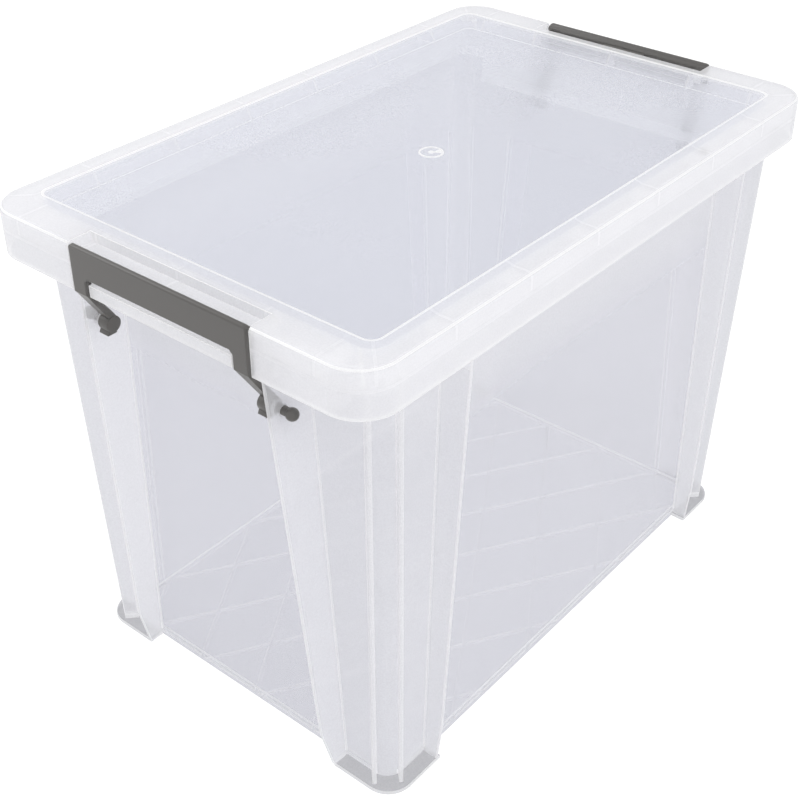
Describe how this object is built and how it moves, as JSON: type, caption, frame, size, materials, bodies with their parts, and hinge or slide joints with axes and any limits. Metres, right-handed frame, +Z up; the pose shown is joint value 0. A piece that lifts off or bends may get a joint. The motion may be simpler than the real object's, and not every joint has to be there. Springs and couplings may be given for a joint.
{
  "type": "file box",
  "caption": "Clear plastic file box: a tapered ribbed tub on corner feet, a skirted lid with a recessed panel, and grey clip handles that swing on pins and hold the lid down.",
  "frame": {"origin": "centre of the box's footprint, on the plane of the feet's undersides", "axes": "+Z up; X along the box's length with the front handle at -X and the rear handle at +X; Y across its width"},
  "size_m": [0.3964, 0.25, 0.2871],
  "materials": {
    "clear_plastic": "clear moulded polypropylene, slightly milky, glossy with a fine orange peel",
    "clear_lid_plastic": "clear moulded polypropylene, slightly milky, satin on the recessed panel",
    "grey_plastic": "satin moulded plastic, dark warm grey"
  },
  "bodies": {
    "tub": {"tub": "clear_plastic"},
    "lid": {"lid": "clear_lid_plastic"},
    "front_handle": {"front_handle": "grey_plastic"},
    "rear_handle": {"rear_handle": "grey_plastic"}
  },
  "joints": [
    {"name": "lid_lift", "type": "slide", "parent": "tub", "child": "lid", "axis": [0, 0, 1], "range_m": [0, 0.06]},
    {"name": "front_handle_swing", "type": "hinge", "parent": "tub", "child": "front_handle", "pos_m": [-0.1834, 0, 0.2375], "axis": [0, -1, 0], "range_deg": [0, 150]},
    {"name": "rear_handle_swing", "type": "hinge", "parent": "tub", "child": "rear_handle", "pos_m": [0.1834, 0, 0.2375], "axis": [0, 1, 0], "range_deg": [0, 150]}
  ],
  "couplings": [
    {"joint": "front_handle_swing", "follows": "lid_lift", "rad_per_m": 43.633},
    {"joint": "rear_handle_swing", "follows": "lid_lift", "rad_per_m": 43.633}
  ]
}
